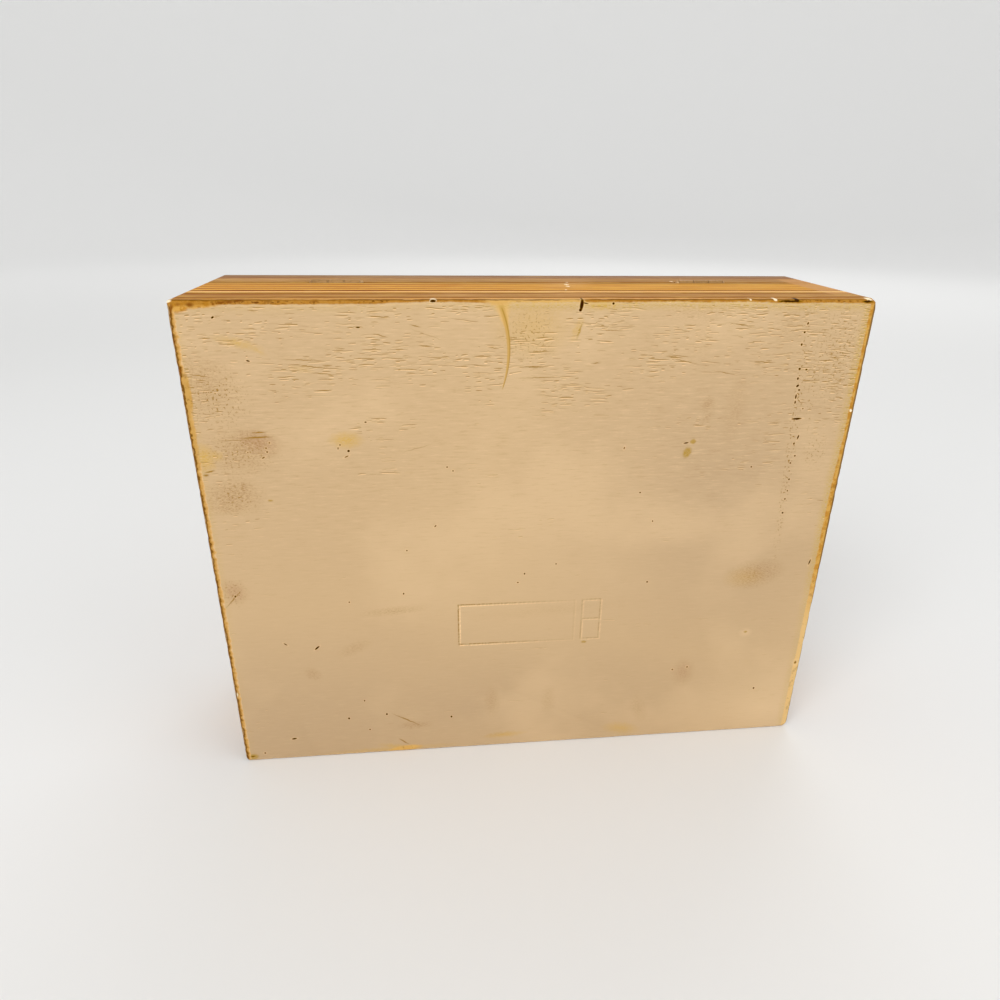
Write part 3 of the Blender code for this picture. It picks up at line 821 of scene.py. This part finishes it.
def border_varnish(at):
    """The border's own colour, thin and pale in places, with a painted highlight on the lower right rim. Also
    gives where that rim is thin and lit.
    """
    colour = blend(fade(at.ripple, 0.4, 0.62), VARNISH_GOLD, VARNISH_ORANGE)
    colour = blend(fade(at.top, 2.4, 1.2, 0, 0.8), colour, VARNISH_DEEP)
    thin_span = product(fade(at.left, 103, 109), fade(at.left, 142, 138), 0.75)
    colour = blend(thin_span, colour, WASH_GOLD)
    colour = blend(fade(at.top, 105, 145, 0, 0.75), colour, WASH_GOLD)
    # Painted highlight: paler gold along the lower right rim, where the varnish is also thinner
    thin_lit_rim = product(fade(at.top, 115, 145), fade(at.right, 12, 8))
    return blend(product(thin_lit_rim, 0.8), colour, RIM_GOLD_HIGHLIGHT), thin_lit_rim


def varnish_reach(at):
    """How far a point is from the varnish at the left edge, at the top edge and at the nearest edge."""
    slow_ripple = cloud(at.place, scale=0.05, detail=1, flat=True)
    wander = times_plus(slow_ripple, 1.6, less(at.jitter, 0.8))
    left_over = less(at.left, 1.5)
    right_over = less(at.right, fade(at.top, 30, 90, 2.4, 3))
    right_over = times_plus(wander, -0.5, right_over)
    top_width = fade(at.left, 205, 220, 0.9, 1.4)
    top_width = maths("ADD", top_width, fade(at.left, 85, 50, 0, 0.6))
    top_over = times_plus(wander, -0.5, less(at.top, top_width))
    return left_over, top_over, least(left_over, right_over, top_over)


def fringed(at, colour, left_over, top_over, over):
    """The fringe that the varnish soaked, and a painted highlight along the paint's rim beside it."""
    fringe = product(fade(over, 4, 0), fade(at.weave, 0.38, 0.64))
    fringe = product(fringe, fade(at.left, 100, 116, 0.35, 0.95))
    fringe = product(fringe, fade(at.top, 150, 100, 0.4, 1))
    colour = blend(fringe, colour, FRINGE_OLIVE)
    # Painted highlight: a bright line in the paint just inside the varnish
    from_rim = least(left_over, top_over, less(at.foot, 0.2))
    from_rim = times_plus(at.jitter, 0.5, from_rim)
    bright = product(fade(from_rim, 0, 0.3), fade(from_rim, 1.1, 0.6))
    bright = product(bright, fade(at.weave, 0.35, 0.6, 0.1, 0.7))
    bright = product(bright, fade(at.top, 4, 8, 0.35, 1), fade(at.left, 3, 6, 0.6, 1))
    return blend(bright, colour, HIGHLIGHT_AND_RING_CREAM)


def varnished_border(at, colour):
    """Varnish that ran over the edges, the left rim with its painted highlight, painted shade on the right
    rim, and rust. Also gives the border's mask.
    """
    left_over, top_over, over = varnish_reach(at)
    patches = product(marks(at.near, BORDER_PATCHES, 0.3), fade(at.left, 1.3, 1.7))
    border = strongest(fade(over, 0.3, -0.3), patches, fade(at.height, 1, 1.4))
    colour = fringed(at, colour, left_over, top_over, over)
    varnish, thin_lit_rim = border_varnish(at)
    laid_on = product(border, times_plus(thin_lit_rim, -0.2, 0.95))
    colour = blend(laid_on, colour, varnish)
    # The left rim's colours: a dark line with a painted highlight inside it
    from_left = times_plus(at.jitter, 0.3, at.left)
    from_left = times_plus(parts(at.ragged)[0], 2, from_left)
    rim = colour_bands(maths("DIVIDE", from_left, RIM_WIDTH), LEFT_RIM_STOPS)
    off_corner = fade(at.top, 1, 2.5)
    colour = blend(product(fade(from_left, 2.6, 2), off_corner), colour, rim)
    run_down = product(fade(at.left, 8, 4), fade(at.top, 12, 18), 0.8)
    patch_colour = blend(run_down, varnish, RUN_GOLD)
    colour = blend(product(patches, 0.95), colour, patch_colour)
    colour = blend(product(marks(at.near, RUST_SPOTS, 0.5), 0.9), colour, RUST_BROWN)
    # Painted shade along the right rim, narrower lower down
    from_right = maths("DIVIDE", at.right, fade(at.top, 90, 140, 1, 0.45))
    from_right = times_plus(at.jitter, 0.3, from_right)
    painted_rim_shade = product(fade(from_right, 1.5, 1.1), off_corner)
    return blend(painted_rim_shade, colour, RIM_SHADE_OLIVE), border


def worn_edges(at, colour, border):
    """The dark line along the panel's side, dark flecks and dashes in the varnish, and a painted highlight
    along the panel's flat side.
    """
    flat_side = times_plus(at.jitter, 0.3, at.height)
    side_line = product(fade(flat_side, 0.3, 0.6), fade(flat_side, 1.75, 1.45))
    worn_line = cloud(stretched(at.position, (30, 1, 30)), detail=3, rough=0.6)
    side_line = product(side_line, fade(at.top, 2, 0.8))
    side_line = product(side_line, fade(worn_line, 0.4, 0.56, 0.4, 1), 0.6)
    flecks = cloud(stretched(at.position, (350, 600, 350)), detail=3, rough=0.7)
    flecks = product(fade(flecks, 0.56, 0.64), border, fade(at.left, 30, 90, 0.5, 0.25))
    dashes = cloud(stretched(at.place, (0.7, 1.5, 0)), detail=1, flat=True)
    dashed = marks(at.near, DASHED_PATCHES, 0.4)
    dashes = product(dashed, fade(dashes, 0.56, 0.66), border, 0.8)
    colour = blend(strongest(side_line, flecks, dashes), colour, VARNISH_DARK)
    # Painted highlight along the flat side of the panel's edge, weaker towards the ends
    brightened = product(fade(flat_side, 1.5, 1.9), fade(at.left, 15, 40, 0.3, 0.8))
    brightened = product(brightened, fade(at.left, 180, 215, 1, 0.35), fade(at.height, 3.6, 3.2))
    return blend(brightened, colour, VARNISH_HIGHLIGHT)


def chipped(at, colour):
    """White chips at the edges, with painted glints at the top corners, and dark specks with a pale ring and
    a brown halo.
    """
    colour = blend(marks(at.near, WHITE_CHIPS_AND_GLINTS, 0.2), colour, FILLER_AND_GLINT_WHITE)
    specks = marks(at.place, SPECKS, 0.3, clamp=False)
    colour = blend(fade(specks, -1.4, -0.1, 0, 0.22), colour, HIGHLIGHT_AND_RING_CREAM)
    specks = strongest(specks, marks(at.near, DARK_PATCHES, 0.3))
    colour = blend(fade(specks, 0, 0.5), colour, SPECK_HALO)
    return blend(fade(specks, 0.3, 1.1), colour, SPECK_BROWN)


def raw_wood(fibre):
    return blend(fade(fibre, 0.3, 0.7), RAW_WOOD, RAW_END)


def painted_base_material():
    """Cream paint on thin board, with cracks along the grain, handling marks and varnish over the edges."""
    made, shader, position = new_material("painted_base")
    at = base_point(position)
    colour, wash = stained(at, cream_paint(at))
    colour, sunk = cracked(at, colour)
    colour, run = varnish_runs(at, colour)
    colour, border = varnished_border(at, colour)
    colour = chipped(at, worn_edges(at, colour, border))
    inner_face = fade(at.height, PANEL_THICKNESS_MM - 0.4, PANEL_THICKNESS_MM - 0.1)
    colour = blend(inner_face, colour, raw_wood(at.fibre))
    wire(colour, shader.inputs["Base Color"])

    glossy = strongest(border, run, product(wash, 0.6))
    rough = times_plus(glossy, -0.2, times_plus(at.fibre, 0.14, 0.5))
    wire(rough, shader.inputs["Roughness"])
    shader.inputs["Specular IOR Level"].default_value = PAINT_SHINE
    relief = times_plus(sunk, -0.5, times_plus(at.fibre, 0.3, 0.5))
    bumped(shader, relief, PAINT_RELIEF)
    return made


# The varnished bands round the box: height above the base in millimetres, and colour; the last stop is
# painted shade on the lid's rounded top edge
BAND_AND_EDGE_SHADE_STOPS = (
    (4.4, (156, 104, 40)),
    (6.4, (166, 114, 46)),
    (8, (180, 128, 60)),
    (13, (178, 128, 64)),
    (14.6, (166, 114, 46)),
    (15.5, (134, 82, 18)),
    (16.6, (160, 106, 36)),
    (17.6, (188, 134, 58)),
    (18.8, (184, 128, 52)),
    (22.2, (170, 112, 28)),
    (23.4, (156, 100, 14)),
    (25, (208, 146, 46)),
    (32, (212, 152, 50)),
    (42.8, (208, 148, 48)),
    (44.6, (182, 130, 46)),
    (47.4, (162, 116, 46)),
    (49.2, (164, 118, 54)),
    (52, (172, 126, 66)),
    (57, (174, 130, 74)),
    (59.4, (182, 138, 88)),
    (61.6, (170, 128, 84)),
    (64, (160, 118, 80)),
    (70, (148, 112, 80)),
    (75.5, (132, 102, 76)),
)


def filled(colour, x, height, streak):
    """Smears and flecks of filler on the back wall, and its paler right corner."""
    place = joined(times_plus(x, MM, LENGTH_MM / 2), product(height, MM))
    ragged = cloud(place, scale=0.7, detail=3, flat=True, coloured=True)
    ragged = stretched(vectors("SUBTRACT", ragged, (0.5, 0.5, 0.5)), (3, 5, 0))
    ragged = vectors("ADD", place, ragged)
    smear = product(marks(ragged, WALL_SMEARS, 0.8), fade(streak, 0.6, 0.4, 0.4, 1))
    colour = blend(smear, colour, SMEAR_PALE)
    colour = blend(marks(ragged, WALL_FLECKS, 0.3), colour, FILLER_AND_GLINT_WHITE)
    corner = product(fade(x, 0.1125, 0.115), fade(height, 0.012, 0.018), 0.75)
    return blend(corner, colour, CORNER_PALE)


def banded(grain, height):
    """The bands' colours by height, with painted shade on the lid's rounded top edge, and the colour of the
    lid's face. Also gives the face's mask.
    """
    wobble = cloud(stretched(grain, (30, 200, 200)), detail=2)
    band_place = times_plus(less(wobble, 0.5), 0.0005, height)
    share = maths("DIVIDE", band_place, BOX_HEIGHT)
    colour = colour_bands(share, [(mm / HEIGHT_MM, tint) for mm, tint in BAND_AND_EDGE_SHADE_STOPS])
    outer_face = fade(height, BOX_HEIGHT - 0.0012, BOX_HEIGHT - 0.0003)
    return blend(outer_face, colour, BOARD_FACE), outer_face


def inside_walls(x, z, height):
    """The mask of the inner faces, where the wood is raw."""
    depth_x = less(BOX_LENGTH / 2, maths("ABSOLUTE", x))
    depth = least(depth_x, least(z, less(BOX_WIDTH, z)))
    inside = fade(depth, WALL_THICKNESS * 0.2, WALL_THICKNESS * 0.45)
    return product(inside, fade(height, BOX_HEIGHT - 0.004, BOX_HEIGHT - 0.008))


def banded_wood_material(name, lengthwise, pith, shift, lean=0, figure=0, flecked=False):
    """
    Varnished softwood in the box's bands. lengthwise is the axis that its grain runs along, lean is how far
    the grain climbs out of the board along it, and figure is the rings' least strength on the lid's face.
    """
    made, shader, position = new_material(name)
    x, y, z = parts(position)
    height = less(y, BASE_Y)
    climbing = times_plus(x, lean, y)
    grain = joined(x, climbing, z) if lengthwise == "X" else joined(z, y, x)
    grain = vectors("ADD", grain, shift)
    plank = placed(PLANK, position=grain, pith=pith, ring_pitch=RING_PITCH, wander=RING_WANDER)
    late, early, fibre, pore, clouds = (plank[part] for part in ("Late", "Early", "Fibre", "Pore", "Cloud"))

    colour, outer_face = banded(grain, height)
    along = less(parts(grain)[0], shift[0])
    ringed = product(fade(along, 0.03, -0.08, 0.15, 1), fade(clouds, 0.25, 0.6, 0.75, 1))
    in_wall = product(fade(height, 0.0215, 0.0235), fade(height, 0.049, 0.045))
    ringed = product(ringed, times_plus(in_wall, 0.8, 0.2))
    ringed = strongest(ringed, product(outer_face, figure))
    darker = blend(1, colour, GRAIN_DARK, kind="MULTIPLY")
    lighter = blend(0.5, colour, GRAIN_LIGHT)
    colour = blend(product(late, ringed), colour, darker)
    colour = blend(product(early, ringed, 0.7), colour, lighter)
    streak = cloud(stretched(grain, (45, 420, 420)), detail=4, rough=0.7)
    colour = blend(fade(streak, 0.5, 0.7, 0, 0.45), colour, darker)
    colour = blend(fade(streak, 0.48, 0.3, 0, 0.5), colour, lighter)
    colour = blend(fade(fibre, 0.5, 0.75, 0, 0.3), colour, darker)
    colour = blend(product(pore, 0.4), colour, PORE_BROWN)
    colour = blend(fade(clouds, 0.5, 0.78, 0, 0.25), colour, darker)
    if flecked:
        colour = filled(colour, x, height, streak)

    inside = inside_walls(x, z, height)
    raw = blend(product(late, 0.4), raw_wood(fibre), RAW_END)
    colour = blend(inside, colour, raw)
    wire(colour, shader.inputs["Base Color"])

    rough = times_plus(clouds, 0.16, 0.42)
    rough = times_plus(inside, 0.25, rough)
    wire(rough, shader.inputs["Roughness"])
    shader.inputs["Specular IOR Level"].default_value = WOOD_SHINE
    relief = times_plus(fibre, 0.4, product(late, ringed, -0.5))
    relief = times_plus(pore, -0.3, relief)
    bumped(shader, relief, WOOD_RELIEF)
    return made


def pale_strip_material(name, lengthwise):
    made, shader, position = new_material(name)
    x, y, z = parts(position)
    grain = joined(x, y, z) if lengthwise == "X" else joined(z, y, x)
    fibre = cloud(stretched(grain, (50, 1800, 1800)), detail=3, rough=0.6)
    clouds = cloud(stretched(grain, (24, 60, 60)), detail=3)
    colour = blend(fade(fibre, 0.35, 0.7), STRIP_PALE, STRIP_WARM)
    colour = blend(fade(clouds, 0.5, 0.75, 0, 0.4), colour, STRIP_SHADE)
    wire(colour, shader.inputs["Base Color"])
    wire(times_plus(clouds, 0.2, 0.4), shader.inputs["Roughness"])
    shader.inputs["Specular IOR Level"].default_value = WOOD_SHINE
    bumped(shader, fibre, FINE_RELIEF)
    return made


def metal_material(name, bright, dull, brightened, metallic):
    """Old metal: dull all over, brighter where it is rubbed."""
    made, shader, position = new_material(name)
    grime = cloud(position, scale=900, detail=4, rough=0.65)
    broad = cloud(position, scale=160, detail=2)
    worn = times_plus(broad, 0.5, grime)
    worn = fade(worn, 0.95 - brightened, 0.6 - brightened)
    wire(blend(worn, dull, bright), shader.inputs["Base Color"])
    wire(times_plus(worn, -0.22, 0.6), shader.inputs["Roughness"])
    shader.inputs["Metallic"].default_value = metallic
    bumped(shader, grime, FINE_RELIEF)
    return made


# Objects


def linked(name, data):
    made = bpy.data.objects.new(name, data)
    bpy.context.scene.collection.objects.link(made)
    return made


def smooth_object(name, bm, material):
    mesh = bpy.data.meshes.new(name)
    bm.to_mesh(mesh)
    bm.free()
    mesh.shade_smooth()
    mesh.materials.append(material)
    return linked(name, mesh)


# The worn base panel

# Corner radii of the panel's outline: right top, left top, left foot, right foot
PANEL_CORNER_RADII = (0.0013, 0.0013, 0.0018, 0.0032)
PANEL_EDGE_RADIUS = 0.0013
PANEL_BACK_CHAMFER = 0.0004
CORNER_STEPS = 8
EDGE_STEPS = 8
OUTLINE_PITCH = 0.0012
WEAR_DEPTH = 0.00022
CHIP_DEPTH = 0.0009
CHIP_REACH = 0.0035


def panel_outline(inset):
    """The panel's outline in X and Z, moved inwards by inset, with as many points for every inset."""
    points = []
    half_x, half_z = BOX_LENGTH / 2 - inset, BOX_WIDTH / 2 - inset
    signs = ((1, 1), (-1, 1), (-1, -1), (1, -1))
    for corner, (sign_x, sign_z) in enumerate(signs):
        radius = max(PANEL_CORNER_RADII[corner] - inset, 0.0003)
        for step in range(CORNER_STEPS + 1):
            angle = math.pi / 2 * (corner + step / CORNER_STEPS)
            x = sign_x * (half_x - radius) + radius * math.cos(angle)
            z = BOX_WIDTH / 2 + sign_z * (half_z - radius) + radius * math.sin(angle)
            points.append(Vector((x, 0, z)))
        following = (corner + 1) % 4
        next_radius = max(PANEL_CORNER_RADII[following] - inset, 0.0003)
        next_sign_x, next_sign_z = signs[following]
        end_angle = math.pi / 2 * following
        end_x = next_sign_x * (half_x - next_radius) + next_radius * math.cos(end_angle)
        end_z = BOX_WIDTH / 2 + next_sign_z * (half_z - next_radius) + next_radius * math.sin(end_angle)
        end = Vector((end_x, 0, end_z))
        count = round((BOX_LENGTH if corner % 2 == 0 else BOX_WIDTH) / OUTLINE_PITCH)
        start = points[-1]
        points += [start.lerp(end, i / count) for i in range(1, count)]
    return points


def wear_at(point, height):
    """How far the panel's edge is rubbed or chipped away at a point, in metres."""
    place = Vector((point.x, height, point.z))
    brightened = max(noise.fractal(place * 260, 0.6, 2, 3) + 0.15, 0) * WEAR_DEPTH
    corner = Vector((BOX_LENGTH / 2, BASE_Y, BOX_WIDTH))
    near = max(1 - (Vector((point.x, BASE_Y + height, point.z)) - corner).length / CHIP_REACH, 0)
    jagged = 0.7 + 0.6 * noise.noise(place * 1400)
    return brightened + near * jagged * CHIP_DEPTH


def worn_panel():
    """The base panel with its edges rubbed, one corner chipped and the other corners worn round."""
    rings = []
    for step in range(EDGE_STEPS + 1):
        angle = math.pi / 2 * step / EDGE_STEPS
        height, inset = 1 - math.cos(angle), 1 - math.sin(angle)
        rings.append((PANEL_EDGE_RADIUS * height, PANEL_EDGE_RADIUS * inset))
    thickness = PANEL_HIGH.y - BASE_Y
    rings += [(thickness - PANEL_BACK_CHAMFER, 0), (thickness, PANEL_BACK_CHAMFER)]
    bm = bmesh.new()
    loops = []
    for height, inset in rings:
        loop = []
        plain = panel_outline(inset)
        deeper = panel_outline(inset + 0.0001)
        for point, inner in zip(plain, deeper):
            inwards = (inner - point).normalized()
            worn = wear_at(point, height) if 0 < height < thickness - PANEL_BACK_CHAMFER else 0
            spot = point + inwards * worn
            loop.append(bm.verts.new((spot.x, BASE_Y + height, spot.z)))
        loops.append(loop)
    count = len(loops[0])
    for lower, upper in zip(loops, loops[1:]):
        for i in range(count):
            j = (i + 1) % count
            bm.faces.new((lower[i], lower[j], upper[j], upper[i]))
    bm.faces.new(loops[0])
    bm.faces.new(loops[-1])
    bmesh.ops.recalc_face_normals(bm, faces=bm.faces)
    panel = smooth_object("worn_panel", bm, painted_base_material())
    panel.data.set_sharp_from_angle(angle=math.radians(35))
    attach(panel, "box")
    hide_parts("base_panel")


def dress(nodes, material):
    for name in nodes:
        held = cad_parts[name].data.materials
        held.clear()
        held.append(material)


def dress_box():
    piths = {
        "front": (0, -0.31, 0.05),
        "back": (0, -0.3038, 0.08),
        "left": (0, -0.29, 0.06),
        "right": (0, -0.32, -0.04),
    }
    for number, side in enumerate(SIDES):
        lengthwise = "X" if side in ("front", "back") else "Z"
        shift = (0, 0, 0) if side == "back" else (0.37 * number, 0.011 * number, 0.05 * number)
        wood = banded_wood_material(f"{side}_wood", lengthwise, piths[side], shift, flecked=side == "back")
        dress([f"body_{side}_wall", f"lid_{side}_rail"], wood)
        dress([f"body_{side}_strip"], pale_strip_material(f"{side}_strip_wood", lengthwise))
    shift = (0.8, 0.2, 0)
    wood = banded_wood_material("lid_board_wood", "X", (0.8, 0.19, 0.07), shift, lean=0.1, figure=0.22)
    dress(["lid_board"], wood)
    brass = metal_material("varnished_brass", (168, 126, 68), (150, 112, 58), 0, 0.15)
    bright = metal_material("rubbed_brass", (226, 190, 140), (176, 134, 82), 0.1, 0.4)
    steel = metal_material("dull_steel", (150, 146, 140), (84, 74, 64), 0, 0.9)
    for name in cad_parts:
        if "hinge" not in name and "brad" not in name:
            continue
        dress([name], bright if "pin" in name else brass if "leaf" in name else steel)


# Stage, light and camera

FLOOR_RADIUS = 2.6
BACKDROP_GLOW = 0.14
WALL_GLOW_SHARE = 0.2
SWEEP_RADIUS = 1.4
SWEEP_STEPS = 16
WALL_TOP = 2.4
STAGE_SEGMENTS = 96


def stage_material():
    made, shader, position = new_material("pale_stage")
    tone = cloud(position, scale=0.4, detail=1)
    wire(blend(tone, STAGE_PALE, STAGE_LIGHT), shader.inputs["Base Color"])
    shader.inputs["Roughness"].default_value = 0.9
    shader.inputs["Specular IOR Level"].default_value = 0.1
    x, y, up = parts(position)
    out = vectors("LENGTH", joined(x, y))
    lift = product(fade(out, 0.9, 2.3, 0, BACKDROP_GLOW), fade(up, 1, WALL_TOP, 1, WALL_GLOW_SHARE))
    wire(joined(lift, lift, lift), shader.inputs["Emission Color"])
    shader.inputs["Emission Strength"].default_value = 1
    return made


def add_stage():
    """A round pale floor that sweeps up into a wall, so no horizon shows from any side."""
    profile = [(FLOOR_RADIUS, 0)]
    for step in range(1, SWEEP_STEPS + 1):
        angle = math.pi / 2 * step / SWEEP_STEPS
        out = FLOOR_RADIUS + SWEEP_RADIUS * math.sin(angle)
        profile.append((out, SWEEP_RADIUS * (1 - math.cos(angle))))
    profile.append((profile[-1][0], WALL_TOP))
    bm = bmesh.new()
    loops = []
    for radius, height in profile:
        loop = []
        for i in range(STAGE_SEGMENTS):
            angle = 2 * math.pi * i / STAGE_SEGMENTS
            loop.append(bm.verts.new((radius * math.cos(angle), radius * math.sin(angle), height)))
        loops.append(loop)
    bm.faces.new(loops[0])
    for lower, upper in zip(loops, loops[1:]):
        for i in range(STAGE_SEGMENTS):
            j = (i + 1) % STAGE_SEGMENTS
            bm.faces.new((lower[j], lower[i], upper[i], upper[j]))
    stage = smooth_object("stage", bm, stage_material())


def add_light(name, place, target, size, power):
    data = bpy.data.lights.new(name, "AREA")
    data.shape = "SQUARE"
    data.size = size
    data.energy = power
    lamp = linked(name, data)
    lamp.location = place
    lamp.rotation_euler = (Vector(target) - Vector(place)).to_track_quat("-Z", "Y").to_euler()


def add_studio():
    add_stage()
    middle = (0, 0, BOX_WIDTH / 2)
    add_light("key", (-0.9, -1.3, 1.5), middle, 1.2, 21)
    add_light("fill", (1.4, -0.8, 0.9), middle, 1.4, 6)
    add_light("rear", (0.6, 1.6, 1.6), middle, 1.6, 11)
    world = bpy.data.worlds.new("studio")
    bpy.context.scene.world = world
    world.use_nodes = True
    back = world.node_tree.nodes["Background"]
    back.inputs["Color"].default_value = linear((228, 228, 228))
    back.inputs["Strength"].default_value = 0.75


def add_camera():
    data = bpy.data.cameras.new("camera")
    data.lens = CAMERA_LENS
    data.shift_x, data.shift_y = CAMERA_SHIFT
    data.clip_start = 0.01
    camera = linked("camera", data)
    right, up = Vector(CAMERA_RIGHT).normalized(), Vector(CAMERA_UP).normalized()
    towards = right.cross(up)
    turn = Matrix((right, towards.cross(right), towards)).transposed()
    middle = Vector((0, BASE_Y, BOX_WIDTH / 2))
    place = middle + Vector(CAMERA_PLACE_SHARES) * BOX_LENGTH
    camera.matrix_world = Matrix.Translation(place) @ turn.to_4x4()
    bpy.context.scene.camera = camera


worn_panel()
dress_box()
add_studio()
add_camera()
bpy.context.scene.view_settings.view_transform = "Standard"
